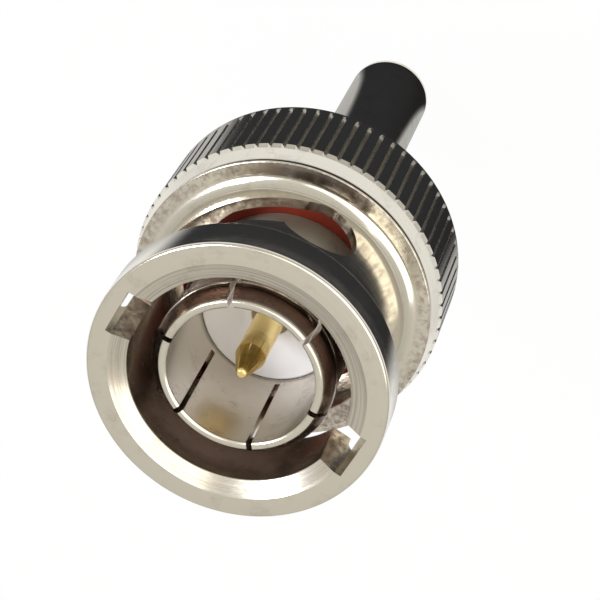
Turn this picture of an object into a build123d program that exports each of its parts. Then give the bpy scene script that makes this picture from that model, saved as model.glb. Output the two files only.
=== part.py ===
from build123d import *
from math import cos, pi, sin
import os

# Bayonet coaxial plug with a slotted outer contact, standing on its crimp ferrule with the
# mating face up. Millimetres, +Z along the axis, z = 0 at the rear end of the ferrule.
# Depths are measured back from the front rim of the coupling nut.

# Outer contact: a sprung sleeve cut into fingers
sleeve_bore_diameter = 6.54
sleeve_wall = 0.78
sleeve_front_depth = 0.7
sleeve_lip_wall = 0.37
sleeve_lip_taper = 0.58
sleeve_lip_edge = 0.06
sleeve_bead_length = 0.5
finger_count = 6
finger_slot_width = 0.25
finger_slot_length = 5.15
finger_slot_angle = 5.5
finger_relief = 0.12
finger_relief_slope = 0.24
shank_wall = 0.48
shank_length = 3.4

# Coupling nut, inside
contact_gap = 0.87
lead_in_width = 0.78
lead_in_depth = 0.31
nut_tail_length = 0.85

# Coupling nut, outside
rim_height = 0.85
rim_length = 2.0
rim_edge = 0.14
rim_back_slope = 0.45
neck_wall = 0.88
collar_depth = 7.42
collar_height = 1.15
collar_face_rise = 0.24
collar_cove_width = 0.45
collar_cove_rise = 0.19
collar_rim_length = 0.1
groove_width = 0.17
groove_floor_depth = 0.25
land_step = 0.06
land_taper = 0.04
land_length = 0.87
knurl_rise = 0.2
knurl_teeth = 72
knurl_groove_depth = 0.19
knurl_stock = 0.03

# Bayonet cam slots: two of them, opposite each other
keyway_width = 2.25
keyway_depth = 0.98
cam_count = 2
cam_start_depth = 3.45
cam_turn = 86
cam_drop = 2.1
cam_slot_width = 2.8
cam_start_relief = 0.1
detent_return = 0.2
detent_diameter = 3.54

# Insulator
insulator_depth = 6.2
insulator_clearance = 0.02
insulator_mouth_gap = 0.245
insulator_mouth_depth = 0.9
insulator_seat_thickness = 0.8

# Centre pin
pin_diameter = 1.35
pin_tip_depth = 0.95
pin_tip_diameter = 0.46
pin_cone_length = 1.5
pin_root_step = 0.165
pin_root_taper = 0.1
pin_root_length = 2.1
pin_pot_step = 0.2
pin_pot_recess = 0.4
pin_pot_bore = 1.0
pin_pot_bore_depth = 4.6
pin_pot_bore_cone = 0.33
pin_clearance = 0.02

# Gasket
gasket_thickness = 1.2
gasket_edge = 0.2
gasket_clearance = 0.02
gasket_play = 0.07

# Plug body
flange_depth = 9.6
flange_thickness = 1.0
flange_overlap = 0.58
flange_play = 0.15
barrel_wall = 0.15
barrel_length = 6.8
barrel_taper_length = 0.8
wrench_flat_cut = 0.5
wrench_flat_length = 2.6
shoulder_height = 0.95
shoulder_length = 1.5
stem_bore_diameter = 2.3
stem_wall = 0.4
stem_root_thickness = 0.9
stem_recess = 1.4
stem_ridges = 2
stem_ridge_pitch = 2.0
stem_ridge_width = 0.6
stem_ridge_height = 0.12
cable_bore_step = 0.45

# Nut retention: wave spring, thrust washer and snap ring
spring_height = 0.95
spring_thickness = 0.18
spring_waves = 3
spring_play = 0.2
washer_thickness = 0.35
washer_bore_play = 0.15
washer_edge_play = 0.1
ring_thickness = 0.4
ring_bore_play = 0.35
ring_gap_width = 3.0
ring_groove_depth = 0.3
ring_groove_play = 0.05
ring_groove_clearance = 0.02

# Crimp ferrule
ferrule_length = 12.7
ferrule_wall = 0.3
ferrule_edge = 0.08
braid_gap = 0.3

# How far a cutter runs past the surface it starts from
cut_overlap = 0.02

# Radii, from the outer contact outwards
sleeve_bore_radius = sleeve_bore_diameter / 2
sleeve_radius = sleeve_bore_radius + sleeve_wall
shank_radius = sleeve_bore_radius + shank_wall
nut_bore_radius = sleeve_radius + contact_gap
neck_radius = nut_bore_radius + neck_wall
rim_radius = neck_radius + rim_height
collar_radius = neck_radius + collar_height
land_radius = collar_radius + land_step
knurl_radius = land_radius + land_taper + knurl_rise
knurl_stock_radius = knurl_radius + knurl_stock
flange_radius = nut_bore_radius + flange_overlap
chamber_radius = flange_radius + flange_play
barrel_radius = sleeve_radius + barrel_wall

# Radii, from the centre pin and the cable outwards
pin_radius = pin_diameter / 2
pin_root_radius = pin_radius + pin_root_step
pin_pot_radius = pin_root_radius + pin_pot_step
stem_bore_radius = stem_bore_diameter / 2
stem_radius = stem_bore_radius + stem_wall
ferrule_bore_radius = stem_radius + braid_gap
ferrule_radius = ferrule_bore_radius + ferrule_wall
shoulder_radius = ferrule_radius + shoulder_height
cable_bore_radius = stem_bore_radius + cable_bore_step

# Levels along the axis, from the ferrule's rear end to the nut's front rim
shoulder_z = ferrule_length
taper_z = shoulder_z + shoulder_length
barrel_z = taper_z + barrel_taper_length
flange_rear_z = barrel_z + barrel_length
flange_z = flange_rear_z + flange_thickness
rim_z = flange_z + flange_depth
spring_rear_z = flange_rear_z - spring_height
washer_rear_z = spring_rear_z - washer_thickness
ring_rear_z = washer_rear_z - ring_thickness
ring_groove_rear_z = ring_rear_z - ring_groove_play
nut_rear_z = ring_groove_rear_z - nut_tail_length
collar_z = rim_z - collar_depth
groove_z = collar_z - collar_face_rise - collar_rim_length
land_z = groove_z - groove_width
knurl_z = land_z - land_length - knurl_rise
insulator_z = rim_z - insulator_depth
mouth_floor_z = insulator_z - insulator_mouth_depth
insulator_rear_z = barrel_z + insulator_seat_thickness

# Cutter for one cam slot: a channel that winds back from the entry keyway to the detent
with BuildPart() as cam_cutter:
    cam_radius = (nut_bore_radius + neck_radius) / 2
    cam_reach = rim_radius - nut_bore_radius
    cam_pitch = cam_drop * 360 / cam_turn
    cam_end_z = rim_z - cam_start_depth - cam_drop
    with BuildLine() as cam_path:
        Helix(cam_pitch, cam_drop, cam_radius, center=(0, 0, cam_end_z))
    cam_start_plane = Plane(
        origin=cam_path.line @ 0, x_dir=(1, 0, 0), z_dir=cam_path.line % 0
    )
    with BuildSketch(cam_start_plane):
        Rectangle(cam_reach, cam_slot_width)
    sweep(path=cam_path.line, is_frenet=True)

# Coupling nut: a turned shell with a rim, a neck, a collar and a knurled grip
with BuildPart() as coupling_nut:
    with BuildSketch(Plane.XZ):
        with BuildLine():
            Polyline(
                (nut_bore_radius + lead_in_width, rim_z),
                (rim_radius - rim_edge, rim_z),
                (rim_radius, rim_z - rim_edge),
                (rim_radius, rim_z - rim_length),
                (neck_radius, rim_z - rim_length - rim_back_slope),
                (neck_radius, collar_z),
                (neck_radius + collar_cove_width, collar_z - collar_cove_rise),
                (collar_radius, collar_z - collar_face_rise),
                (collar_radius, groove_z),
                (collar_radius - groove_floor_depth, groove_z),
                (collar_radius - groove_floor_depth, land_z),
                (land_radius, land_z),
                (land_radius + land_taper, land_z - land_length),
                (knurl_stock_radius, knurl_z - knurl_stock),
                (knurl_stock_radius, nut_rear_z),
                (chamber_radius, nut_rear_z),
                (chamber_radius, ring_groove_rear_z),
                (chamber_radius + ring_groove_depth, ring_groove_rear_z),
                (chamber_radius + ring_groove_depth, washer_rear_z),
                (chamber_radius, washer_rear_z),
                (chamber_radius, flange_z),
                (nut_bore_radius, flange_z),
                (nut_bore_radius, rim_z - lead_in_depth),
                close=True,
            )
        make_face()
    revolve(axis=Axis.Z)

    # Entry keyways, open at the front face
    with PolarLocations(0, cam_count):
        with Locations((0, 0, rim_z - cam_start_depth)):
            Box(
                nut_bore_radius + keyway_depth,
                keyway_width,
                cam_start_depth,
                align=(Align.MIN, Align.CENTER, Align.MIN),
                mode=Mode.SUBTRACT,
            )
    # Cam slots, each with a round start at its keyway and a round detent at its end
    with PolarLocations(0, cam_count, start_angle=-cam_turn):
        add(cam_cutter.part, mode=Mode.SUBTRACT)
    for end_angle, end_depth, end_diameter in (
        (0, cam_start_depth, cam_slot_width + cam_start_relief),
        (-cam_turn, cam_start_depth + cam_drop - detent_return, detent_diameter),
    ):
        with PolarLocations(cam_radius, cam_count, start_angle=end_angle):
            with Locations(Location((0, 0, rim_z - end_depth), (0, 90, 0))):
                Cylinder(end_diameter / 2, cam_reach, mode=Mode.SUBTRACT)

    # Straight knurl: V grooves that meet in sharp crests, cut out of the turned stock
    with BuildSketch(Plane.XY.offset(nut_rear_z)):
        Circle(knurl_stock_radius + cut_overlap)
        tooth_points = []
        for tooth in range(knurl_teeth):
            root_angle = 2 * pi * tooth / knurl_teeth
            crest_angle = root_angle + pi / knurl_teeth
            root_radius = knurl_radius - knurl_groove_depth
            tooth_points.append((root_radius * cos(root_angle), root_radius * sin(root_angle)))
            tooth_points.append((knurl_radius * cos(crest_angle), knurl_radius * sin(crest_angle)))
        Polygon(*tooth_points, align=None, mode=Mode.SUBTRACT)
    extrude(amount=knurl_z + knurl_rise - nut_rear_z, mode=Mode.SUBTRACT)

# Outer contact: fingers with a beaded, tapered lip in front and a press-fit shank behind
with BuildPart() as outer_contact:
    sleeve_z = rim_z - sleeve_front_depth
    lip_radius = sleeve_bore_radius + sleeve_lip_wall
    bead_z = sleeve_z - sleeve_lip_taper
    relief_z = bead_z - sleeve_bead_length
    finger_root_z = sleeve_z - finger_slot_length
    with BuildSketch(Plane.XZ):
        with BuildLine():
            Polyline(
                (sleeve_bore_radius, sleeve_z),
                (lip_radius - sleeve_lip_edge, sleeve_z),
                (lip_radius, sleeve_z - sleeve_lip_edge),
                (sleeve_radius, bead_z),
                (sleeve_radius, relief_z),
                (sleeve_radius - finger_relief, relief_z - finger_relief_slope),
                (sleeve_radius - finger_relief, finger_root_z),
                (sleeve_radius, finger_root_z - finger_relief_slope),
                (sleeve_radius, flange_z),
                (shank_radius, flange_z),
                (shank_radius, flange_z - shank_length),
                (sleeve_bore_radius, flange_z - shank_length),
                close=True,
            )
        make_face()
    revolve(axis=Axis.Z)
    with BuildSketch(Plane.XY.offset(sleeve_z)):
        with PolarLocations(0, finger_count, start_angle=finger_slot_angle):
            Rectangle(sleeve_radius * 2, finger_slot_width, align=(Align.MIN, Align.CENTER))
    extrude(amount=-finger_slot_length, mode=Mode.SUBTRACT)

# Insulator: a turned bead, bored to hold the pin
with BuildPart() as insulator:
    pin_pot_z = mouth_floor_z - pin_root_length
    with BuildSketch(Plane.XZ):
        with BuildLine():
            Polyline(
                (pin_radius + insulator_mouth_gap, insulator_z),
                (sleeve_bore_radius - insulator_clearance, insulator_z),
                (sleeve_bore_radius - insulator_clearance, insulator_rear_z),
                (pin_pot_radius + pin_clearance, insulator_rear_z),
                (pin_pot_radius + pin_clearance, pin_pot_z),
                (pin_root_radius + pin_clearance, pin_pot_z),
                (pin_root_radius + pin_clearance, mouth_floor_z),
                (pin_radius + insulator_mouth_gap, mouth_floor_z),
                close=True,
            )
        make_face()
    revolve(axis=Axis.Z)

# Centre pin: a coned tip, a plain shaft, a thicker root from the insulator's face and a crimp pot
with BuildPart() as centre_pin:
    pin_tip_z = rim_z - pin_tip_depth
    pin_rear_z = insulator_rear_z + pin_pot_recess
    with BuildSketch(Plane.XZ):
        with BuildLine():
            Polyline(
                (0, pin_tip_z),
                (pin_tip_diameter / 2, pin_tip_z),
                (pin_radius, pin_tip_z - pin_cone_length),
                (pin_radius, insulator_z + pin_root_taper),
                (pin_root_radius, insulator_z),
                (pin_root_radius, pin_pot_z),
                (pin_pot_radius, pin_pot_z),
                (pin_pot_radius, pin_rear_z),
                (pin_pot_bore / 2, pin_rear_z),
                (pin_pot_bore / 2, pin_rear_z + pin_pot_bore_depth),
                (0, pin_rear_z + pin_pot_bore_depth + pin_pot_bore_cone),
                close=True,
            )
        make_face()
    revolve(axis=Axis.Z)

# Gasket: a rubber ring on the flange, around the outer contact
with BuildPart() as gasket:
    with BuildSketch(Plane.XY.offset(flange_z)):
        Circle(nut_bore_radius - gasket_play)
        Circle(sleeve_radius + gasket_clearance, mode=Mode.SUBTRACT)
    extrude(amount=gasket_thickness)
    gasket_front_edge = gasket.edges().group_by(Axis.Z)[-1].sort_by(SortBy.RADIUS)[-1]
    chamfer(gasket_front_edge, gasket_edge)

# Plug body: flange, barrel with wrench flats, shoulder and ridged crimp stem
with BuildPart() as plug_body:
    with BuildSketch(Plane.XZ):
        with BuildLine():
            Polyline(
                (shank_radius, flange_z),
                (flange_radius, flange_z),
                (flange_radius, flange_rear_z),
                (barrel_radius, flange_rear_z),
                (barrel_radius, barrel_z),
                (shoulder_radius, taper_z),
                (shoulder_radius, shoulder_z),
                (stem_radius, shoulder_z),
                (stem_radius, stem_recess),
                (stem_bore_radius, stem_recess),
                (stem_bore_radius, shoulder_z + stem_root_thickness),
                (cable_bore_radius, shoulder_z + stem_root_thickness),
                (cable_bore_radius, insulator_rear_z),
                (sleeve_bore_radius, insulator_rear_z),
                (sleeve_bore_radius, flange_z - shank_length),
                (shank_radius, flange_z - shank_length),
                close=True,
            )
        make_face()
    revolve(axis=Axis.Z)
    with BuildSketch(Plane.XY.offset(taper_z)):
        Circle(flange_radius)
        Rectangle(
            flange_radius * 2, (barrel_radius - wrench_flat_cut) * 2, mode=Mode.SUBTRACT
        )
    extrude(amount=barrel_taper_length + wrench_flat_length, mode=Mode.SUBTRACT)
    with BuildSketch(Plane.XZ):
        for ridge in range(stem_ridges):
            ridge_z = stem_recess + (ridge + 1) * stem_ridge_pitch
            with BuildLine():
                Polyline(
                    (stem_radius - stem_ridge_height, ridge_z),
                    (stem_radius + cut_overlap, ridge_z),
                    (stem_radius + cut_overlap, ridge_z + stem_ridge_width),
                    close=True,
                )
            make_face()
    revolve(axis=Axis.Z, mode=Mode.SUBTRACT)

# Wave spring: a flat ring that undulates between the flange and the thrust washer
with BuildPart() as wave_spring:
    wave_height = (spring_height - spring_thickness) / 2
    spring_z = (flange_rear_z + spring_rear_z) / 2
    points_per_turn = 8 * spring_waves
    spring_edges = []
    for spring_radius in (barrel_radius + spring_play, chamber_radius - spring_play):
        with BuildLine() as spring_rim:
            Spline(
                *[
                    (
                        spring_radius * cos(2 * pi * i / points_per_turn),
                        spring_radius * sin(2 * pi * i / points_per_turn),
                        spring_z + wave_height * cos(2 * pi * spring_waves * i / points_per_turn),
                    )
                    for i in range(points_per_turn)
                ],
                periodic=True,
            )
        spring_edges.append(spring_rim.edge())
    thicken(Face.make_surface_from_curves(*spring_edges), amount=spring_thickness / 2, both=True)

# Thrust washer: carries the spring's push to the snap ring
with BuildPart() as thrust_washer:
    with BuildSketch(Plane.XY.offset(washer_rear_z)):
        Circle(chamber_radius - washer_edge_play)
        Circle(barrel_radius + washer_bore_play, mode=Mode.SUBTRACT)
    extrude(amount=washer_thickness)

# Snap ring: an open ring in the groove of the nut
with BuildPart() as retaining_ring:
    with BuildSketch(Plane.XY.offset(ring_rear_z)):
        ring_radius = chamber_radius + ring_groove_depth - ring_groove_clearance
        Circle(ring_radius)
        Circle(barrel_radius + ring_bore_play, mode=Mode.SUBTRACT)
        Rectangle(
            ring_radius * 2, ring_gap_width, align=(Align.MAX, Align.CENTER), mode=Mode.SUBTRACT
        )
    extrude(amount=ring_thickness)

# Crimp ferrule: a plain tube with eased outer edges, butted against the shoulder of the body
with BuildPart() as crimp_ferrule:
    with BuildSketch():
        Circle(ferrule_radius)
        Circle(ferrule_bore_radius, mode=Mode.SUBTRACT)
    extrude(amount=ferrule_length)
    ferrule_rims = crimp_ferrule.edges().filter_by(GeomType.CIRCLE).group_by(SortBy.RADIUS)[-1]
    chamfer(ferrule_rims, ferrule_edge)

coupling_nut.part.label = "coupling_nut"
outer_contact.part.label = "outer_contact"
insulator.part.label = "insulator"
centre_pin.part.label = "centre_pin"
gasket.part.label = "gasket"
plug_body.part.label = "plug_body"
wave_spring.part.label = "wave_spring"
thrust_washer.part.label = "thrust_washer"
retaining_ring.part.label = "retaining_ring"
crimp_ferrule.part.label = "crimp_ferrule"

os.makedirs("parts", exist_ok=True)
export_step(coupling_nut.part, "parts/coupling_nut.step")
export_step(outer_contact.part, "parts/outer_contact.step")
export_step(insulator.part, "parts/insulator.step")
export_step(centre_pin.part, "parts/centre_pin.step")
export_step(gasket.part, "parts/gasket.step")
export_step(plug_body.part, "parts/plug_body.step")
export_step(wave_spring.part, "parts/wave_spring.step")
export_step(thrust_washer.part, "parts/thrust_washer.step")
export_step(retaining_ring.part, "parts/retaining_ring.step")
export_step(crimp_ferrule.part, "parts/crimp_ferrule.step")
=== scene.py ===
import math
import bpy
from mathutils import Matrix, Vector


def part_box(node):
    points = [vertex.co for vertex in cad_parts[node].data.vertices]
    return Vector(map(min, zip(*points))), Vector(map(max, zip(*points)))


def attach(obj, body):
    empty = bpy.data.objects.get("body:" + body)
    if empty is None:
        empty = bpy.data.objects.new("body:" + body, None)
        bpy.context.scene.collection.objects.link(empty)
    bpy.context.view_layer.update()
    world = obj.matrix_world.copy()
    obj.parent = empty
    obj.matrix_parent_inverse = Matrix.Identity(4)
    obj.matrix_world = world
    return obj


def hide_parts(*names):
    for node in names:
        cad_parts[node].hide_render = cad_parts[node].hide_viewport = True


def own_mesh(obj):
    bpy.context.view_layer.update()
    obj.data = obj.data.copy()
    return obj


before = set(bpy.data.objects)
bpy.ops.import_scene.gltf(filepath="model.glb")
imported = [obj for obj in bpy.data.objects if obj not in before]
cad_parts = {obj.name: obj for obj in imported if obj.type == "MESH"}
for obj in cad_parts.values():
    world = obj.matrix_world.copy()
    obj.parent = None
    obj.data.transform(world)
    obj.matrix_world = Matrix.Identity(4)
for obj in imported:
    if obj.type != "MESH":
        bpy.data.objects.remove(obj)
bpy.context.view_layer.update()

mm = 0.001  # pieces are turned and cut in millimetres and made metres when they are done
spare = 1.0  # how far a cutter passes the surface it starts from
noiseRange = (0.3, 0.7)  # most of a fine noise lies between these


def levelOf(node, end):
    # end 0 is the lowest level of a node, end 1 its highest
    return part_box(node)[end][2] / mm


rimZ = levelOf("coupling_nut", 1)


def behind(depth):
    # depths on this plug are counted back from the front rim of the nut
    return rimZ - depth


def clearSelection():
    if bpy.context.mode != "OBJECT":
        bpy.ops.object.mode_set(mode="OBJECT")
    bpy.ops.object.select_all(action="DESELECT")


def pick(piece):
    clearSelection()
    piece.select_set(True)
    bpy.context.view_layer.objects.active = piece


def bend(centre, radius, start, end, steps=8):
    # points of an arc on a profile: 0 degrees points outwards, 90 degrees backwards
    middle, depth = centre
    turns = [math.radians(start + (end - start) * step / steps) for step in range(steps + 1)]
    return [(middle + radius * math.cos(turn), depth + radius * math.sin(turn)) for turn in turns]


def roundCorner(radius, depth, offsets):
    # points of a small rounding, as offsets outwards and backwards from a corner
    return [(radius + outwards, depth + backwards) for outwards, backwards in offsets]


def turnPiece(name, profile, steps, closed=True):
    # a circle is extruded and resized from point to point of the profile, as on a lathe
    clearSelection()
    radius, depth = profile[0]
    level = behind(depth)
    bpy.ops.mesh.primitive_circle_add(vertices=steps, radius=radius, location=(0, 0, level))
    piece = bpy.context.object
    piece.name = name
    bpy.ops.object.transform_apply(location=True, rotation=True, scale=True)
    bpy.ops.object.mode_set(mode="EDIT")
    bpy.ops.mesh.select_mode(type="EDGE")
    bpy.ops.mesh.select_all(action="SELECT")
    for nextRadius, nextDepth in profile[1:]:
        nextLevel = behind(nextDepth)
        bpy.ops.mesh.extrude_region()
        ratio = nextRadius / radius
        bpy.ops.transform.resize(value=(ratio, ratio, 1), center_override=(0, 0, level))
        bpy.ops.transform.translate(value=(0, 0, nextLevel - level))
        radius, level = nextRadius, nextLevel
    bpy.ops.mesh.select_all(action="DESELECT")
    bpy.ops.mesh.select_non_manifold()
    if closed:
        bpy.ops.mesh.bridge_edge_loops()
    else:
        bpy.ops.mesh.edge_face_add()
        bpy.ops.mesh.select_all(action="DESELECT")
        bpy.ops.mesh.select_non_manifold()
        bpy.ops.mesh.edge_face_add()
    bpy.ops.mesh.select_all(action="SELECT")
    bpy.ops.mesh.normals_make_consistent(inside=False)
    bpy.ops.object.mode_set(mode="OBJECT")
    return piece


def boxCutter(place, size, turn=0.0):
    clearSelection()
    bpy.ops.mesh.primitive_cube_add(size=1, location=place, rotation=(0, 0, math.radians(turn)), scale=size)
    bpy.ops.object.transform_apply(location=True, rotation=True, scale=True)
    return bpy.context.object


def cutAway(piece, cutter):
    pick(piece)
    cut = piece.modifiers.new("cut", "BOOLEAN")
    cut.operation = "DIFFERENCE"
    cut.solver = "EXACT"
    cut.object = cutter
    bpy.ops.object.modifier_apply(modifier=cut.name)
    bpy.data.objects.remove(cutter)


def finishPiece(piece, body, material, *nodes, smoothAngle=32):
    # millimetres become metres, and the place stays in the mesh
    pick(piece)
    piece.scale = (mm, mm, mm)
    bpy.ops.object.transform_apply(location=True, rotation=True, scale=True)
    bpy.ops.object.shade_smooth_by_angle(angle=math.radians(smoothAngle))
    flatten = piece.modifiers.new("flatFaces", "WEIGHTED_NORMAL")
    flatten.keep_sharp = True
    bpy.ops.object.modifier_apply(modifier=flatten.name)
    piece.data.materials.clear()
    piece.data.materials.append(material)
    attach(piece, body)
    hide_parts(*nodes)
    print("piece done:", piece.name, len(piece.data.polygons), "faces")


class FinishTree:
    # a material that is mixed from Object coordinates in millimetres
    def __init__(self, name):
        self.material = bpy.data.materials.new(name)
        self.material.use_nodes = True
        self.nodes = self.material.node_tree.nodes
        self.links = self.material.node_tree.links
        self.shader = self.nodes["Principled BSDF"]
        coordinates = self.nodes.new("ShaderNodeTexCoord")
        scale = self.nodes.new("ShaderNodeVectorMath")
        scale.operation = "SCALE"
        scale.inputs["Scale"].default_value = 1 / mm
        self.links.new(coordinates.outputs["Object"], scale.inputs[0])
        self.place = scale.outputs["Vector"]
        split = self.nodes.new("ShaderNodeSeparateXYZ")
        self.links.new(self.place, split.inputs[0])
        self.x, self.y, self.z = split.outputs
        squares = self.math("ADD", self.times(self.x, self.x), self.times(self.y, self.y))
        self.radius = self.math("SQRT", squares)
        self.turn = self.math("ARCTAN2", self.y, self.x)

    def feed(self, socket, value):
        if isinstance(value, (int, float, tuple)):
            socket.default_value = value
        else:
            self.links.new(value, socket)

    def math(self, operation, first, second=0.0):
        node = self.nodes.new("ShaderNodeMath")
        node.operation = operation
        self.feed(node.inputs[0], first)
        self.feed(node.inputs[1], second)
        return node.outputs[0]

    def times(self, first, second):
        return self.math("MULTIPLY", first, second)

    def larger(self, first, second):
        return self.math("MAXIMUM", first, second)

    def noise(self, vector, scale, detail=2.0, roughness=0.5):
        node = self.nodes.new("ShaderNodeTexNoise")
        self.feed(node.inputs["Vector"], vector)
        node.inputs["Scale"].default_value = scale
        node.inputs["Detail"].default_value = detail
        node.inputs["Roughness"].default_value = roughness
        return node.outputs["Fac"]

    def turningMarks(self, perMillimetre, drift=0.0, detail=2.0, roughness=0.5):
        # fine rings round the axis, which change a little on their way round where they drift
        node = self.nodes.new("ShaderNodeCombineXYZ")
        self.feed(node.inputs[0], self.times(self.radius, perMillimetre))
        self.feed(node.inputs[1], self.times(self.z, perMillimetre))
        self.feed(node.inputs[2], self.times(self.turn, drift))
        return self.noise(node.outputs[0], 1.0, detail, roughness)

    def mapRange(self, value, low, high, outLow, outHigh, smooth=False):
        node = self.nodes.new("ShaderNodeMapRange")
        node.interpolation_type = "SMOOTHSTEP" if smooth else "LINEAR"
        for index, part in enumerate((value, low, high, outLow, outHigh)):
            self.feed(node.inputs[index], part)
        return node.outputs[0]

    def fade(self, value, edge, reach, before, after):
        # from one amount to another within the reach of an edge
        return self.mapRange(value, edge + reach[0], edge + reach[1], before, after)

    def band(self, value, low, high, soft):
        # 1 between low and high, 0 outside them
        rise = self.mapRange(value, low - soft, low, 0.0, 1.0)
        fall = self.mapRange(value, high, high + soft, 1.0, 0.0)
        return self.times(rise, fall)

    def mix(self, factor, first, second):
        node = self.nodes.new("ShaderNodeMix")
        node.data_type = "RGBA"
        self.feed(node.inputs[0], factor)
        self.feed(node.inputs[6], first)
        self.feed(node.inputs[7], second)
        return node.outputs[2]

    def bump(self, height, distance):
        node = self.nodes.new("ShaderNodeBump")
        node.inputs["Strength"].default_value = 1.0
        node.inputs["Distance"].default_value = distance * mm
        self.feed(node.inputs["Height"], height)
        self.links.new(node.outputs[0], self.shader.inputs["Normal"])


nickel = {
    "colour": (0.78, 0.745, 0.655, 1),
    "stain": (0.34, 0.28, 0.22, 1),
    # painted shade colour: a dark red-brown for shade in the hollows and the red gasket's painted
    # reflection
    "paintedShade": (0.17, 0.09, 0.07, 1),
    "stainAmount": 0.35,
    "stainScale": 0.9,
    "stainRange": (0.5, 0.72),  # where the blotches begin to stain, and where they stain most
    "speckScale": 7.0,
    "speckRange": (0.35, 0.7),
    "speckShare": (0.35, 1.0),  # how much of a stain stays between the specks and in them
    "roughness": 0.14,
    "roughnessSpread": 0.08,
    "stainRoughness": 0.25,  # what stains, the painted shade and a satin finish add to the roughness
    "paintedShadeRoughness": 0.12,
    "satinRoughness": 0.3,
    "turningMarks": 7.0,  # marks per millimetre
    "markDrift": 0.6,
    "markDepth": 0.0012,
    "speckDepth": 0.25,
}


def makeNickel(name, roughness=nickel["roughness"], marks=1.0, tint=nickel["colour"],
               dark=None, satin=None):
    # dark and satin are functions that give a mask on the tree, for regions of the piece: dark where
    # painted shade is mixed in, satin where the finish is rougher
    tree = FinishTree(name)
    rings = tree.turningMarks(nickel["turningMarks"], nickel["markDrift"], detail=3.0, roughness=0.65)
    blotches = tree.noise(tree.place, nickel["stainScale"], detail=5.0, roughness=0.62)
    specks = tree.noise(tree.place, nickel["speckScale"], detail=3.0, roughness=0.6)
    stain = tree.mapRange(blotches, *nickel["stainRange"], 0.0, nickel["stainAmount"], smooth=True)
    stain = tree.times(stain, tree.mapRange(specks, *nickel["speckRange"], *nickel["speckShare"]))
    colour = tree.mix(stain, tint, nickel["stain"])
    spread = nickel["roughnessSpread"] / 2
    rough = tree.math("ADD", tree.mapRange(rings, *noiseRange, roughness - spread, roughness + spread),
                      tree.times(stain, nickel["stainRoughness"]))
    if dark:
        # painted shade: the dark red-brown is mixed into the colour where the dark mask says
        mask = dark(tree)
        colour = tree.mix(mask, colour, nickel["paintedShade"])
        rough = tree.math("ADD", rough, tree.times(mask, nickel["paintedShadeRoughness"]))
    if satin:
        rough = tree.math("ADD", rough, tree.times(satin(tree), nickel["satinRoughness"]))
    tree.links.new(colour, tree.shader.inputs["Base Color"])
    tree.shader.inputs["Metallic"].default_value = 1.0
    tree.links.new(rough, tree.shader.inputs["Roughness"])
    relief = tree.math("ADD", tree.times(rings, marks), tree.times(specks, nickel["speckDepth"]))
    tree.bump(relief, nickel["markDepth"])
    return tree.material


# Coupling nut

nut = {
    "steps": 432,
    "teeth": 72,
    "rimRadius": 6.65,
    "rimEdge": 0.14,
    "rimRearEdge": 0.08,
    "rimLength": 2.0,
    "neckRadius": 5.8,
    "neckStart": 2.12,
    "neckBend": 0.42,
    "cornerBend": 0.07,
    "collarDepth": 7.42,
    "collarRadius": 6.95,
    "collarEdge": 0.07,
    "flangeFace": 7.66,
    "flangeHollow": 0.5,  # width of the hollow in the flange's face, beside the neck
    "hollowStart": (0.042, 0.01),
    "hollowEnd": 0.03,
    "hollowSteps": 6,
    "grooveDepth": 7.76,
    "grooveWidth": 0.27,
    "grooveFloor": 6.7,
    "landRadius": 6.9,
    "landEdge": 0.03,
    "landEndRadius": 7.12,
    "landEndDepth": 8.75,
    "knurlRadius": 7.25,
    "knurlDepth": 8.94,
    "knurlRunOut": 0.25,
    "plainEnd": 0.16,
    "plainDrop": 0.002,
    "rearEdge": 0.06,
    "toothRoot": 7.1,
    "length": 13.2,
    "chamberRadius": 5.65,
    "chamberEdge": 0.2,
    "ringGroove": (11.9, 12.35, 5.95),  # front, back, radius
    "flangeDepth": 9.6,
    "boreRadius": 4.92,
    "boreMouth": ((0.0, 0.02), (0.03, -0.01)),  # beyond the bore, behind the lead-in
    "reliefRadius": 5.35,
    "reliefDepth": 6.0,
    "leadInRadius": 5.7,
    "leadInDepth": 0.31,
    "keywayWidth": 2.25,
    "keywayFloor": 5.9,
    "keywayEnd": 4.6,
    "camStart": 3.8,
    "camDrop": 2.1,
    "camTurn": 86.0,
    "camWidth": 2.32,
    "camStations": 60,
    "camStartDiameter": 2.36,
    "detentDepth": 5.35,
    "detentDiameter": 3.54,
    "holeSteps": 96,
    "finish": {
        "softness": 0.01,
        "mottleScale": 3.2,
        "bore": 0.55,  # how dark the painted shade in the bore is, and between which distances from the bore it fades
        "boreFade": (0.03, 0.08),
        "boreSoftness": 0.05,
        "slotWalls": (0.1, 0.7),
        "slotWallFade": (-0.04, -0.02),
        "slotWallMottle": (0.38, 0.62),
        "groove": 0.9,
        "grooveFade": (-0.06, -0.03),
        "flange": (0.05, 0.6),
        "flangeFade": (0.4, 0.75),
        "flangeMottle": (0.42, 0.66),
        "flangeReach": 0.02,
        "leadIn": (0.05, 0.35),
        "leadInFade": (-0.02, 0.0),
        "leadInStart": (0.0, 0.02),
        "leadInMarks": 14.0,  # marks per millimetre
        "leadInLines": (0.4, 0.62),
        "landSatin": 0.2,
        "landFront": (0.0, 0.02),
        "landBack": (0.0, 0.03),
        "toothGrooveSatin": 0.5,
        "toothGrooveFade": (-0.05, -0.015),
        "toothGrooveEnd": 0.1,
        "toothGrooveSoftness": 0.02,
    },
}


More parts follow.
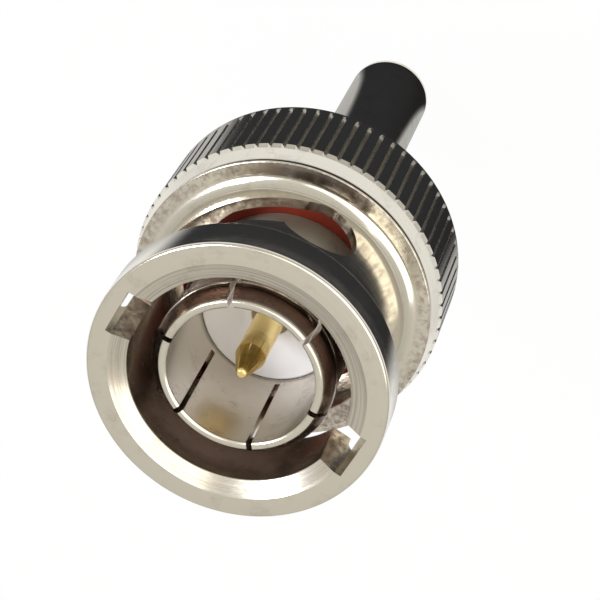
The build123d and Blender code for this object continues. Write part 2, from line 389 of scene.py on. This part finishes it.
def nutDark(tree):
    # painted shade in the bore, reddish as a painted reflection of the gasket, on the walls of the slots
    # and in the fine groove; mottled painted shade on the outer part of the flange face; and fine dark
    # turning lines on the lead-in
    n, f = nut, nut["finish"]
    mottle = tree.noise(tree.place, f["mottleScale"], detail=4.0, roughness=0.65)
    bore = tree.fade(tree.radius, n["boreRadius"], f["boreFade"], f["bore"], 0.0)
    walls = tree.times(tree.fade(tree.radius, n["neckRadius"], f["slotWallFade"], 1.0, 0.0),
                       tree.mapRange(mottle, *f["slotWallMottle"], *f["slotWalls"]))
    inside = tree.band(tree.z, behind(n["flangeDepth"]), behind(n["leadInDepth"] + f["boreSoftness"]),
                       f["boreSoftness"])
    inside = tree.times(inside, tree.larger(bore, walls))
    groove = tree.band(tree.z, behind(n["grooveDepth"] + n["grooveWidth"]), behind(n["grooveDepth"]),
                       f["softness"])
    groove = tree.times(groove, tree.fade(tree.radius, n["collarRadius"], f["grooveFade"],
                                          f["groove"], 0.0))
    flange = tree.band(tree.z, behind(n["flangeFace"] + f["flangeReach"]), behind(n["collarDepth"]),
                       f["softness"])
    flange = tree.times(flange, tree.fade(tree.radius, n["neckRadius"], f["flangeFade"], 0.0, 1.0))
    flange = tree.times(flange, tree.mapRange(mottle, *f["flangeMottle"], *f["flange"]))
    leadIn = tree.times(tree.fade(tree.radius, n["leadInRadius"], f["leadInFade"], 1.0, 0.0),
                        tree.fade(tree.z, behind(n["leadInDepth"]), f["leadInStart"], 0.0, 1.0))
    lines = tree.turningMarks(f["leadInMarks"], drift=1.0)
    leadIn = tree.times(leadIn, tree.mapRange(lines, *f["leadInLines"], *f["leadIn"]))
    return tree.larger(tree.larger(inside, groove), tree.larger(flange, leadIn))


def nutSatin(tree):
    # the land in front of the knurl is a little duller than the rest, and so are the grooves
    # between the teeth
    n, f = nut, nut["finish"]
    grooves = tree.band(tree.z, behind(n["length"] - f["toothGrooveEnd"]), behind(n["knurlDepth"]),
                        f["toothGrooveSoftness"])
    grooves = tree.times(grooves, tree.fade(tree.radius, n["knurlRadius"], f["toothGrooveFade"],
                                            f["toothGrooveSatin"], 0.0))
    outside = tree.mapRange(tree.radius, n["neckRadius"], n["collarRadius"], 0.0, 1.0)
    front = tree.fade(tree.z, behind(n["grooveDepth"] + n["grooveWidth"]), f["landFront"], 1.0, 0.0)
    back = tree.fade(tree.z, behind(n["knurlDepth"]), f["landBack"], 0.0, 1.0)
    land = tree.times(tree.times(front, back), f["landSatin"])
    return tree.larger(tree.times(grooves, outside), land)


def nutProfile():
    n = nut
    rim, neck, collar, back = n["rimRadius"], n["neckRadius"], n["collarRadius"], n["length"]
    front, rear = n["rimEdge"], n["rimRearEdge"]
    points = [(n["leadInRadius"], 0.0)]
    points += bend((rim - front, front), front, -90, 0)
    points += bend((rim - rear, n["rimLength"] - rear), rear, 0, 75)  # stops early, and a cone leads on
    wide, small = n["neckBend"], n["cornerBend"]
    points += bend((neck + wide, n["neckStart"] + wide), wide, -90, -180)
    points += bend((neck + small, n["collarDepth"] - small), small, 180, 120)
    startRadius, startDepth = neck + n["hollowStart"][0], n["collarDepth"] + n["hollowStart"][1]
    for step in range(1, n["hollowSteps"] + 1):
        share = step / n["hollowSteps"]
        rise = (n["flangeFace"] - n["hollowEnd"] - startDepth) * math.sin(math.pi / 2 * share)
        points.append((startRadius + n["flangeHollow"] * share, startDepth + rise))
    edge = n["collarEdge"]
    points += bend((collar - edge, n["flangeFace"] + edge), edge, -90, 0)
    landStart, landEdge = n["grooveDepth"] + n["grooveWidth"], n["landEdge"]
    points += [
        (collar, n["grooveDepth"]),
        (n["grooveFloor"], n["grooveDepth"]),
        (n["grooveFloor"], landStart),
        (n["landRadius"] - landEdge, landStart),
        (n["landRadius"], landStart + landEdge),
        (n["landEndRadius"], n["landEndDepth"]),
    ]
    knurl, plain, rearEdge = n["knurlRadius"], n["knurlRadius"] - n["plainDrop"], n["rearEdge"]
    points += [
        (knurl, n["knurlDepth"]),
        (knurl, back - n["knurlRunOut"] - n["plainEnd"]),
        (plain, back - n["plainEnd"]),
        (plain, back - rearEdge),
        (knurl - rearEdge, back),
    ]
    chamber, chamberEdge, flange = n["chamberRadius"], n["chamberEdge"], n["flangeDepth"]
    ringFront, ringBack, ringRadius = n["ringGroove"]
    points += [
        (chamber + chamberEdge, back),
        (chamber, back - chamberEdge),
        (chamber, ringBack),
        (ringRadius, ringBack),
        (ringRadius, ringFront),
        (chamber, ringFront),
        (chamber, flange),
    ]
    bore, relief = n["boreRadius"], n["reliefRadius"]
    points += [
        (relief, flange),
        (relief, n["reliefDepth"]),
        (bore, n["reliefDepth"] - (relief - bore)),
    ]
    points += roundCorner(bore, n["leadInDepth"], n["boreMouth"])
    return points


def cutKnurl(piece):
    # a narrow groove between flat teeth: every sixth line of the grip is drawn in
    perTooth = nut["steps"] // nut["teeth"]
    crest = nut["knurlRadius"]
    pick(piece)
    bpy.ops.object.mode_set(mode="EDIT")
    bpy.ops.mesh.select_mode(type="EDGE")
    bpy.ops.mesh.select_all(action="DESELECT")
    bpy.ops.object.mode_set(mode="OBJECT")
    for vertex in piece.data.vertices:
        radius = math.hypot(vertex.co.x, vertex.co.y)
        line = round(math.degrees(math.atan2(vertex.co.y, vertex.co.x)) * nut["steps"] / 360)
        vertex.select = radius > crest - nut["plainDrop"] / 2 and line % perTooth == 0
    bpy.ops.object.mode_set(mode="EDIT")
    bpy.ops.mesh.select_mode(type="VERT")
    ratio = nut["toothRoot"] / crest
    bpy.ops.transform.resize(value=(ratio, ratio, 1), center_override=(0, 0, 0))
    bpy.ops.object.mode_set(mode="OBJECT")


def keywayCutter(side):
    reach, height = nut["keywayFloor"], nut["keywayEnd"] + spare
    return boxCutter((side * reach / 2, 0, rimZ + spare - height / 2), (reach, nut["keywayWidth"], height))


def roundCutter(angle, depth, diameter):
    # a hole through the neck's wall
    clearSelection()
    middle = (nut["boreRadius"] + nut["neckRadius"]) / 2
    turn = math.radians(angle)
    bpy.ops.mesh.primitive_cylinder_add(
        vertices=nut["holeSteps"], radius=diameter / 2, depth=nut["rimRadius"] - nut["boreRadius"],
        location=(middle * math.cos(turn), middle * math.sin(turn), behind(depth)),
        rotation=(0, math.pi / 2, turn))
    bpy.ops.object.transform_apply(location=True, rotation=True, scale=True)
    return bpy.context.object


def channelCutter(side):
    # a slab across the wall is spun round the axis, then each station drops a little more
    clearSelection()
    reach = nut["rimRadius"] - nut["boreRadius"]
    middle = (nut["boreRadius"] + nut["neckRadius"]) / 2
    bpy.ops.mesh.primitive_plane_add(size=1, location=(middle, 0, behind(nut["camStart"])),
                                     rotation=(math.pi / 2, 0, 0))
    channel = bpy.context.object
    channel.scale = (reach, nut["camWidth"], 1)
    bpy.ops.object.transform_apply(location=True, rotation=True, scale=True)
    bpy.ops.object.mode_set(mode="EDIT")
    bpy.ops.mesh.select_all(action="SELECT")
    bpy.ops.mesh.spin(steps=nut["camStations"], angle=math.radians(nut["camTurn"]), center=(0, 0, 0),
                      axis=(0, 0, -1))
    bpy.ops.object.mode_set(mode="OBJECT")
    for vertex in channel.data.vertices:
        passed = math.degrees(abs(math.atan2(vertex.co.y, vertex.co.x))) / nut["camTurn"]
        vertex.co.z -= nut["camDrop"] * passed
        vertex.co.y = -abs(vertex.co.y)
    bpy.ops.object.mode_set(mode="EDIT")
    bpy.ops.mesh.select_all(action="DESELECT")
    bpy.ops.mesh.select_non_manifold()
    bpy.ops.mesh.edge_face_add()
    bpy.ops.mesh.select_all(action="SELECT")
    bpy.ops.mesh.normals_make_consistent(inside=False)
    bpy.ops.object.mode_set(mode="OBJECT")
    if side < 0:
        channel.rotation_euler = (0, 0, math.pi)
        bpy.ops.object.transform_apply(location=True, rotation=True, scale=True)
    return channel


def makeNut():
    piece = turnPiece("nutShell", nutProfile(), nut["steps"])
    cutKnurl(piece)
    for side, start in ((1, 0), (-1, 180)):
        cutAway(piece, keywayCutter(side))
        cutAway(piece, channelCutter(side))
        cutAway(piece, roundCutter(start, nut["camStart"], nut["camStartDiameter"]))
        cutAway(piece, roundCutter(start - nut["camTurn"], nut["detentDepth"], nut["detentDiameter"]))
    return piece


# Outer contact

sleeve = {
    "steps": 180,
    "front": 0.7,
    "lipRadius": 3.64,
    "boreRadius": 3.27,
    "radius": 4.05,
    "relief": 3.93,
    "shankRadius": 3.75,
    "lipFace": ((0.07, 0.02), (0.13, 0.0)),  # beyond the bore, behind the front
    "lipOutside": ((-0.07, 0.0), (-0.02, 0.02), (0.02, 0.07)),  # beyond the lip, behind the front
    "lipInside": ((0.0, 0.12), (0.02, 0.06)),  # beyond the bore, behind the front
    "noseEnd": 1.32,
    "noseEdge": (0.03, 0.08),
    "beadEnd": 1.78,
    "reliefStart": 2.02,
    "reliefEnd": 5.85,
    "seatStart": 6.09,
    "seatEnd": 9.6,
    "insulatorFront": 6.5,
    "slits": 3,  # each slit passes through both walls
    "slotWidth": 0.25,
    "slotEnd": 5.85,
    "slotAngle": 5.5,
    "end": 13.0,
    "finish": {
        "softness": 0.01,
        "roughness": 0.15,
        "inside": 0.25,  # how dark the painted shade inside is, and between which distances from the bore it fades
        "insideFade": (0.02, 0.04),
        "outside": 0.8,
        "outsideFade": (-0.05, -0.02),
        "outsideStart": 2.1,
        "outsideSoftness": 0.3,
        "nose": 0.8,
        "noseFade": (0.02, 0.08),
        "noseStart": 0.08,
        "noseEnd": 1.3,
        "noseSoftness": 0.08,
        "slits": 0.7,
        "slitWall": (0.05, 0.06),
        "slitStart": (-0.1, -0.05),
        "insideSatin": 0.2,
        "seatSatin": 2.6,
        "seatStart": (-0.2, 0.0),
    },
}


def sleevePaintedShade(tree):
    # painted shade: the inside is a little darker than the lip, and the nose, the slits and the outside
    # behind the bead, where shade falls, are darker still
    s, f = sleeve, sleeve["finish"]
    inside = tree.fade(tree.radius, s["boreRadius"], f["insideFade"], f["inside"], 0.0)
    outside = tree.band(tree.z, behind(s["slotEnd"]), behind(f["outsideStart"]), f["outsideSoftness"])
    outside = tree.times(tree.fade(tree.radius, s["relief"], f["outsideFade"], 0.0, f["outside"]), outside)
    wallInside, wallOutside = f["slitWall"]
    slits = tree.band(tree.radius, s["boreRadius"] + wallInside, s["lipRadius"] - wallOutside,
                      f["softness"])
    slits = tree.times(slits, tree.fade(tree.z, behind(s["front"]), f["slitStart"], f["slits"], 0.0))
    nose = tree.band(tree.z, behind(f["noseEnd"]), behind(s["front"] + f["noseStart"]), f["noseSoftness"])
    nose = tree.times(tree.fade(tree.radius, s["lipRadius"], f["noseFade"], 0.0, f["nose"]), nose)
    return tree.larger(tree.larger(inside, slits), tree.larger(outside, nose))


def sleeveSatin(tree):
    # the bore is reamed, and the sleeve is matt where it seats the gasket
    s, f = sleeve, sleeve["finish"]
    inside = tree.fade(tree.radius, s["boreRadius"], f["insideFade"], f["insideSatin"], 0.0)
    seat = tree.times(tree.mapRange(tree.radius, s["relief"], s["radius"], 0.0, f["seatSatin"]),
                      tree.fade(tree.z, behind(s["slotEnd"]), f["seatStart"], 1.0, 0.0))
    return tree.larger(inside, seat)


def makeSleeve():
    s = sleeve
    front, bore, lip = s["front"], s["boreRadius"], s["lipRadius"]
    points = roundCorner(bore, front, s["lipFace"]) + roundCorner(lip, front, s["lipOutside"])
    points += [
        (s["radius"] - s["noseEdge"][0], s["noseEnd"] - s["noseEdge"][1]),
        (s["radius"], s["noseEnd"]),
        (s["radius"], s["beadEnd"]),
        (s["relief"], s["reliefStart"]),
        (s["relief"], s["reliefEnd"]),
        (s["radius"], s["seatStart"]),
        (s["radius"], s["seatEnd"]),
        (s["shankRadius"], s["seatEnd"]),
        (s["shankRadius"], s["end"]),
        (bore, s["end"]),
        (bore, s["insulatorFront"]),
    ]
    points += roundCorner(bore, front, s["lipInside"])
    piece = turnPiece("contactSleeve", points, s["steps"])
    length = s["slotEnd"] - front + spare
    for index in range(s["slits"]):
        cutAway(piece, boxCutter((0, 0, behind(s["slotEnd"]) + length / 2),
                                 (s["radius"] * 2 + spare, s["slotWidth"], length),
                                 turn=s["slotAngle"] + 180 / s["slits"] * index))
    return piece


# Insulator

insulator = {
    "steps": 128,
    "face": 6.2,
    "radius": 3.25,
    "edge": 0.08,
    "mouth": 0.92,
    "mouthEdge": 0.04,
    "mouthDepth": 0.9,
    "pinBore": 0.86,
    "potBore": 1.06,
    "potDepth": 9.2,
    "end": 16.6,
    "finish": {
        "colour": (0.83, 0.83, 0.855, 1),
        "cloud": (0.78, 0.78, 0.80, 1),
        "cloudScale": 1.2,
        "marks": 7.0,  # marks per millimetre
        "markDepth": 0.002,
        "roughness": (0.32, 0.44),
        "subsurface": 0.2,
        "lightReach": 0.4,
    },
}


def makeFluoropolymer(name):
    f = insulator["finish"]
    tree = FinishTree(name)
    turned = tree.turningMarks(f["marks"], detail=3.0)
    clouds = tree.noise(tree.place, f["cloudScale"], detail=3.0)
    tree.links.new(tree.mix(clouds, f["colour"], f["cloud"]), tree.shader.inputs["Base Color"])
    tree.links.new(tree.mapRange(turned, *noiseRange, *f["roughness"]), tree.shader.inputs["Roughness"])
    tree.shader.inputs["Subsurface Weight"].default_value = f["subsurface"]
    tree.shader.inputs["Subsurface Radius"].default_value = (f["lightReach"] * mm,) * 3
    tree.bump(turned, f["markDepth"])
    return tree.material


def makeInsulator():
    i = insulator
    points = [
        (i["mouth"] + i["mouthEdge"], i["face"]),
        (i["radius"] - i["edge"], i["face"]),
        (i["radius"], i["face"] + i["edge"]),
        (i["radius"], i["end"]),
        (i["potBore"], i["end"]),
        (i["potBore"], i["potDepth"]),
        (i["pinBore"], i["potDepth"]),
        (i["pinBore"], i["face"] + i["mouthDepth"]),
        (i["mouth"], i["face"] + i["mouthDepth"]),
        (i["mouth"], i["face"] + i["mouthEdge"]),
    ]
    return turnPiece("insulatorBead", points, i["steps"])


# Centre pin

pin = {
    "steps": 96,
    "tip": 0.95,
    "tipRadius": 0.23,
    "tipRounding": ((0.05, 0.13), (0.02, 0.07), (-0.03, 0.02), (-0.1, 0.0)),  # as offsets, from the back
    "coneEnd": 2.45,
    "coneRounding": ((0.0, 0.05), (-0.012, 0.0), (-0.04, -0.08)),
    "radius": 0.675,
    "rootRadius": 0.84,
    "rootDepth": 7.1,
    "rootEdge": 0.03,
    "potDepth": 9.2,
    "potRadius": 1.04,
    "potEnd": 16.2,
    "potBore": 0.5,
    "potBoreDepth": 4.6,
    "drillTip": (0.12, 0.1),  # radius and depth of the bore's blunt end
    "finish": {
        "colour": (1.0, 0.80, 0.38, 1),
        "patch": (0.95, 0.73, 0.29, 1),
        "patchScale": 2.5,
        "marks": 8.0,  # marks per millimetre
        "markDepth": 0.001,
        "roughness": (0.14, 0.26),
    },
}


def makeGold(name):
    f = pin["finish"]
    tree = FinishTree(name)
    marks = tree.turningMarks(f["marks"])
    patches = tree.noise(tree.place, f["patchScale"], detail=3.0)
    tree.links.new(tree.mix(patches, f["colour"], f["patch"]), tree.shader.inputs["Base Color"])
    tree.shader.inputs["Metallic"].default_value = 1.0
    tree.links.new(tree.mapRange(marks, *noiseRange, *f["roughness"]), tree.shader.inputs["Roughness"])
    tree.bump(marks, f["markDepth"])
    return tree.material


def makePin():
    p = pin
    boreEnd = p["potEnd"] - p["potBoreDepth"]
    points = [
        (p["drillTip"][0], boreEnd - p["drillTip"][1]),
        (p["potBore"], boreEnd),
        (p["potBore"], p["potEnd"]),
        (p["potRadius"], p["potEnd"]),
        (p["potRadius"], p["potDepth"]),
        (p["rootRadius"], p["potDepth"]),
        (p["rootRadius"], p["rootDepth"] + p["rootEdge"]),
        (p["radius"], p["rootDepth"]),
    ]
    points += roundCorner(p["radius"], p["coneEnd"], p["coneRounding"])
    points += roundCorner(p["tipRadius"], p["tip"], p["tipRounding"])
    return turnPiece("contactPin", points, p["steps"], closed=False)


# Gasket

seal = {
    "steps": 128,
    "front": 8.4,
    "thickness": 1.2,
    "inner": 4.07,
    "innerEdge": 0.06,
    "outer": 4.85,
    "round": 0.25,
    "roundSteps": 5,
    "finish": {
        "colour": (0.40, 0.05, 0.022, 1),
        "cloud": (0.30, 0.032, 0.018, 1),
        "cloudScale": 1.4,
        "grainScale": 9.0,
        "grainDepth": 0.003,
        "roughness": (0.34, 0.5),
        "specular": 0.35,
    },
}


def makeSilicone(name):
    f = seal["finish"]
    tree = FinishTree(name)
    grain = tree.noise(tree.place, f["grainScale"], detail=4.0, roughness=0.6)
    clouds = tree.noise(tree.place, f["cloudScale"])
    tree.links.new(tree.mix(clouds, f["colour"], f["cloud"]), tree.shader.inputs["Base Color"])
    tree.links.new(tree.mapRange(grain, *noiseRange, *f["roughness"]), tree.shader.inputs["Roughness"])
    tree.shader.inputs["Specular IOR Level"].default_value = f["specular"]
    tree.bump(grain, f["grainDepth"])
    return tree.material


def makeSeal():
    g = seal
    back, soft = g["front"] + g["thickness"], g["round"]
    points = [
        (g["inner"], back),
        (g["inner"], g["front"] + g["innerEdge"]),
        (g["inner"] + g["innerEdge"], g["front"]),
    ]
    points += bend((g["outer"] - soft, g["front"] + soft), soft, -90, 0, steps=g["roundSteps"])
    points.append((g["outer"], back))
    return turnPiece("gasketRing", points, g["steps"])


# Plug body

barrel = {
    "steps": 128,
    "flangeDepth": 9.6,
    "flangeEnd": 10.58,
    "flangeRadius": 5.5,
    "flangeEdge": 0.05,
    "shank": 3.75,
    "shankEnd": 13.0,
    "radius": 4.2,
    "end": 17.4,
    "taperEnd": 18.2,
    "shoulder": 3.1,
    "shoulderEdge": 0.08,
    "shoulderEnd": 19.7,
    "stem": 1.55,
    "stemBore": 1.15,
    "stemEnd": 31.0,
    "cableBore": 1.6,
    "cableBoreEnd": 18.8,
    "beadBore": 3.27,
    "beadEnd": 16.6,
    "flats": 3.7,
    "flatFrom": 14.8,
    "flatCutWidth": 12.0,
}


def makeBody():
    b = barrel
    points = [
        (b["shank"], b["flangeDepth"]),
        (b["flangeRadius"] - b["flangeEdge"], b["flangeDepth"]),
        (b["flangeRadius"], b["flangeDepth"] + b["flangeEdge"]),
        (b["flangeRadius"], b["flangeEnd"]),
        (b["radius"], b["flangeEnd"]),
        (b["radius"], b["end"]),
        (b["shoulder"], b["taperEnd"]),
        (b["shoulder"], b["shoulderEnd"] - b["shoulderEdge"]),
        (b["shoulder"] - b["shoulderEdge"], b["shoulderEnd"]),
        (b["stem"], b["shoulderEnd"]),
        (b["stem"], b["stemEnd"]),
        (b["stemBore"], b["stemEnd"]),
        (b["stemBore"], b["cableBoreEnd"]),
        (b["cableBore"], b["cableBoreEnd"]),
        (b["cableBore"], b["beadEnd"]),
        (b["beadBore"], b["beadEnd"]),
        (b["beadBore"], b["shankEnd"]),
        (b["shank"], b["shankEnd"]),
    ]
    piece = turnPiece("bodyBarrel", points, b["steps"])
    height = b["taperEnd"] - b["flatFrom"]
    for side in (1, -1):
        cutAway(piece, boxCutter((0, side * (b["flats"] + spare), behind(b["flatFrom"] + height / 2)),
                                 (b["flatCutWidth"], spare * 2, height)))
    return piece


# Crimp ferrule

ferrule = {
    "steps": 128,
    "radius": 2.15,
    "wall": 0.3,
    "edge": 0.08,
    "edgeBreak": 0.024,
    "marks": 0.4,  # a drawn tube has weaker marks than a turned piece
}


def makeFerrule():
    f = ferrule
    rear, front = (rimZ - levelOf("crimp_ferrule", end) for end in (0, 1))
    outer, inner, edge, small = f["radius"], f["radius"] - f["wall"], f["edge"], f["edgeBreak"]
    points = [
        (outer - edge, rear),
        (outer - small, rear - small),
        (outer, rear - edge),
        (outer, front + edge),
        (outer - small, front + small),
        (outer - edge, front),
        (inner + edge, front),
        (inner, front + edge),
        (inner, rear - edge),
        (inner + edge, rear),
    ]
    return turnPiece("ferruleTube", points, f["steps"])


# Wave spring between the body's flange and the thrust washer

spring = {
    "steps": 96,
    "inner": 4.4,
    "outer": 5.45,
    "thickness": 0.17,
    "waves": 3,
    "travel": 0.7,
    "tint": (0.62, 0.62, 0.60, 1),
    "roughness": 0.25,
}
springLow, springHigh = (levelOf("wave_spring", end) for end in (0, 1))


def makeSpring():
    half = spring["thickness"] / 2
    middle = rimZ - (springLow + springHigh) / 2
    points = [(spring["inner"], middle + half), (spring["outer"], middle + half),
              (spring["outer"], middle - half), (spring["inner"], middle - half)]
    piece = turnPiece("waveWasher", points, spring["steps"])
    for vertex in piece.data.vertices:
        turn = math.atan2(vertex.co.y, vertex.co.x)
        vertex.co.z += ((springHigh - springLow) / 2 - half) * math.cos(spring["waves"] * turn)
    return piece


# Camera, floor and light

cameraView = {
    "lens": 125.73,
    "sensor": 36,
    "aim": (-0.7808, -0.0890, 23.8156),
    "distance": 95.785,
    "azimuth": -84.41,
    "elevation": 58.89,
    "roll": -152.737,
    "clip": (0.002, 10),
}
floorLook = {"size": 3.0, "colour": (0.86, 0.85, 0.83, 1), "showsWhite": 0.96}
domeLook = {"colour": (1.0, 0.965, 0.89, 1), "horizon": 0.5, "zenith": 0.72}
lamps = {
    "keyLamp": {"place": (-42, -24, 158), "size": 120, "power": 0.072, "colour": (1.0, 0.95, 0.84)},
    "coolLamp": {"place": (80, 5, 165), "size": 50, "power": 0.16, "colour": (0.93, 0.94, 1.0)},
}
cardLook = {
    "steps": 96,
    "radius": 36.0,
    "softRadius": 5.0,
    "height": 0.3,
    "nearRadius": 7.0,  # out to here the wedge is nearTurn wide on each side
    "farRadius": 15.0,  # and from here on farTurn wide
    "aside": -3.0,  # degrees that it is turned away from the azimuth of the camera
    "nearTurn": 80.0,
    "farTurn": 98.0,
    "softTurn": 16.0,
    "footRadius": 20.0,  # around the foot it is at least half grey
    "footCover": 0.5,
    "colour": (0.028, 0.029, 0.034, 1),
}


def addCamera():
    c = cameraView
    azimuth, elevation = math.radians(c["azimuth"]), math.radians(c["elevation"])
    away = Vector((math.cos(elevation) * math.cos(azimuth), math.cos(elevation) * math.sin(azimuth),
                   math.sin(elevation)))
    aim = Vector(c["aim"]) * mm
    lens = bpy.data.cameras.new("photoCamera")
    lens.lens = c["lens"]
    lens.sensor_width = c["sensor"]
    lens.clip_start, lens.clip_end = c["clip"]
    camera = bpy.data.objects.new("photoCamera", lens)
    bpy.context.scene.collection.objects.link(camera)
    look = away.to_track_quat("Z", "Y").to_matrix().to_4x4()
    roll = Matrix.Rotation(math.radians(c["roll"]), 4, "Z")
    camera.matrix_world = Matrix.Translation(aim + away * c["distance"] * mm) @ look @ roll
    bpy.context.scene.camera = camera


def addFloor():
    # the camera and reflections see it white, and it keeps a little of the plug's shadow
    clearSelection()
    bpy.ops.mesh.primitive_plane_add(size=floorLook["size"], location=(0, 0, 0))
    floor = bpy.context.object
    floor.name = "paleFloor"
    material = bpy.data.materials.new("paleFloor")
    material.use_nodes = True
    nodes, links = material.node_tree.nodes, material.node_tree.links
    nodes.clear()
    out = nodes.new("ShaderNodeOutputMaterial")
    diffuse = nodes.new("ShaderNodeBsdfDiffuse")
    diffuse.inputs["Color"].default_value = floorLook["colour"]
    glow = nodes.new("ShaderNodeEmission")
    glow.inputs["Color"].default_value = (1, 1, 1, 1)
    ray = nodes.new("ShaderNodeLightPath")
    seen = ray.outputs["Is Camera Ray"]
    for kind in ("Is Glossy Ray", "Is Transmission Ray"):
        either = nodes.new("ShaderNodeMath")
        either.operation = "MAXIMUM"
        links.new(seen, either.inputs[0])
        links.new(ray.outputs[kind], either.inputs[1])
        seen = either.outputs[0]
    share = nodes.new("ShaderNodeMath")
    share.operation = "MULTIPLY"
    links.new(seen, share.inputs[0])
    share.inputs[1].default_value = floorLook["showsWhite"]
    blend = nodes.new("ShaderNodeMixShader")
    links.new(share.outputs[0], blend.inputs[0])
    links.new(diffuse.outputs[0], blend.inputs[1])
    links.new(glow.outputs[0], blend.inputs[2])
    links.new(blend.outputs[0], out.inputs[0])
    floor.data.materials.append(material)


def addWorld():
    # a warm dome, brighter towards the top
    world = bpy.data.worlds.new("studio")
    bpy.context.scene.world = world
    world.use_nodes = True
    nodes, links = world.node_tree.nodes, world.node_tree.links
    background = nodes["Background"]
    direction = nodes.new("ShaderNodeTexCoord")
    split = nodes.new("ShaderNodeSeparateXYZ")
    links.new(direction.outputs["Generated"], split.inputs[0])
    height = nodes.new("ShaderNodeMapRange")
    height.inputs[1].default_value = 0.0
    height.inputs[2].default_value = 1.0
    height.inputs[3].default_value = domeLook["horizon"]
    height.inputs[4].default_value = domeLook["zenith"]
    links.new(split.outputs["Z"], height.inputs[0])
    background.inputs["Color"].default_value = domeLook["colour"]
    links.new(height.outputs[0], background.inputs["Strength"])


def addLamp(name, place, size, power, colour):
    lamp = bpy.data.lights.new(name, "AREA")
    lamp.size = size * mm
    lamp.energy = power
    lamp.color = colour
    holder = bpy.data.objects.new(name, lamp)
    holder.location = Vector(place) * mm
    aim = Vector(cameraView["aim"]) * mm
    holder.rotation_euler = (holder.location - aim).to_track_quat("Z", "Y").to_euler()
    bpy.context.scene.collection.objects.link(holder)


def addDarkCard():
    # a dark card round the foot, on the camera's side, that only reflections on the polished sides show
    clearSelection()
    c = cardLook
    bpy.ops.mesh.primitive_circle_add(vertices=c["steps"], radius=c["radius"] * mm, fill_type="NGON",
                                      location=(0, 0, c["height"] * mm))
    card = bpy.context.object
    card.name = "darkCard"
    bpy.ops.object.transform_apply(location=True, rotation=True, scale=True)
    tree = FinishTree("darkCard")
    nodes, links = tree.nodes, tree.links
    facing = math.radians(cameraView["azimuth"] + c["aside"])
    towards = tree.math("ADD", tree.times(tree.x, math.cos(facing)), tree.times(tree.y, math.sin(facing)))
    across = tree.math("SUBTRACT", tree.times(tree.y, math.cos(facing)),
                       tree.times(tree.x, math.sin(facing)))
    turn = tree.math("ABSOLUTE", tree.math("ARCTAN2", across, towards))
    near, far, soft = (math.radians(c[key]) for key in ("nearTurn", "farTurn", "softTurn"))
    edge = tree.mapRange(tree.radius, c["nearRadius"], c["farRadius"], near, far, smooth=True)
    inWedge = tree.mapRange(tree.math("SUBTRACT", turn, edge), -soft, soft, 1.0, 0.0, smooth=True)
    inCircle = tree.mapRange(tree.radius, c["radius"] - c["softRadius"], c["radius"], 1.0, 0.0, smooth=True)
    footEnd = c["footRadius"] + c["softRadius"]
    foot = tree.mapRange(tree.radius, c["footRadius"], footEnd, c["footCover"], 0.0)
    cover = tree.times(tree.larger(inWedge, foot), inCircle)
    tree.shader.inputs["Base Color"].default_value = c["colour"]
    tree.shader.inputs["Roughness"].default_value = 1.0
    tree.shader.inputs["Specular IOR Level"].default_value = 0.0
    clear = nodes.new("ShaderNodeBsdfTransparent")
    blend = nodes.new("ShaderNodeMixShader")
    links.new(cover, blend.inputs[0])
    links.new(clear.outputs[0], blend.inputs[1])
    links.new(tree.shader.outputs[0], blend.inputs[2])
    links.new(blend.outputs[0], nodes["Material Output"].inputs[0])
    card.data.materials.append(tree.material)
    card.visible_camera = False
    card.visible_shadow = False
    card.visible_diffuse = False


addCamera()
addFloor()
addWorld()
addDarkCard()
for name, lamp in lamps.items():
    addLamp(name, **lamp)
print("camera, floor and light are set")

nutNickel = makeNickel("nutNickel", dark=nutDark, satin=nutSatin)
sleeveNickel = makeNickel("sleeveNickel", roughness=sleeve["finish"]["roughness"], dark=sleevePaintedShade,
                          satin=sleeveSatin)
ferruleNickel = makeNickel("ferruleNickel", marks=ferrule["marks"])
bodyNickel = makeNickel("bodyNickel")
springSteel = makeNickel("springSteel", roughness=spring["roughness"], tint=spring["tint"])
gold = makeGold("goldPlate")
fluoropolymer = makeFluoropolymer("fluoropolymer")
silicone = makeSilicone("redSilicone")
print("materials are made")

finishPiece(makeNut(), "nut", nutNickel, "coupling_nut", smoothAngle=13)
finishPiece(makeSleeve(), "plug", sleeveNickel, "outer_contact")
finishPiece(makeInsulator(), "plug", fluoropolymer, "insulator")
finishPiece(makePin(), "plug", gold, "centre_pin", smoothAngle=14)
finishPiece(makeSeal(), "plug", silicone, "gasket")
finishPiece(makeBody(), "plug", bodyNickel, "plug_body")
finishPiece(makeFerrule(), "plug", ferruleNickel, "crimp_ferrule")
waveWasher = makeSpring()
finishPiece(waveWasher, "washer", springSteel, "wave_spring")
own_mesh(waveWasher)
for node in ("thrust_washer", "retaining_ring"):
    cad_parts[node].data.materials.clear()
    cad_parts[node].data.materials.append(springSteel)
print("the washer and the snap ring have their finish")

scene = bpy.context.scene
scene.view_settings.view_transform = "Standard"
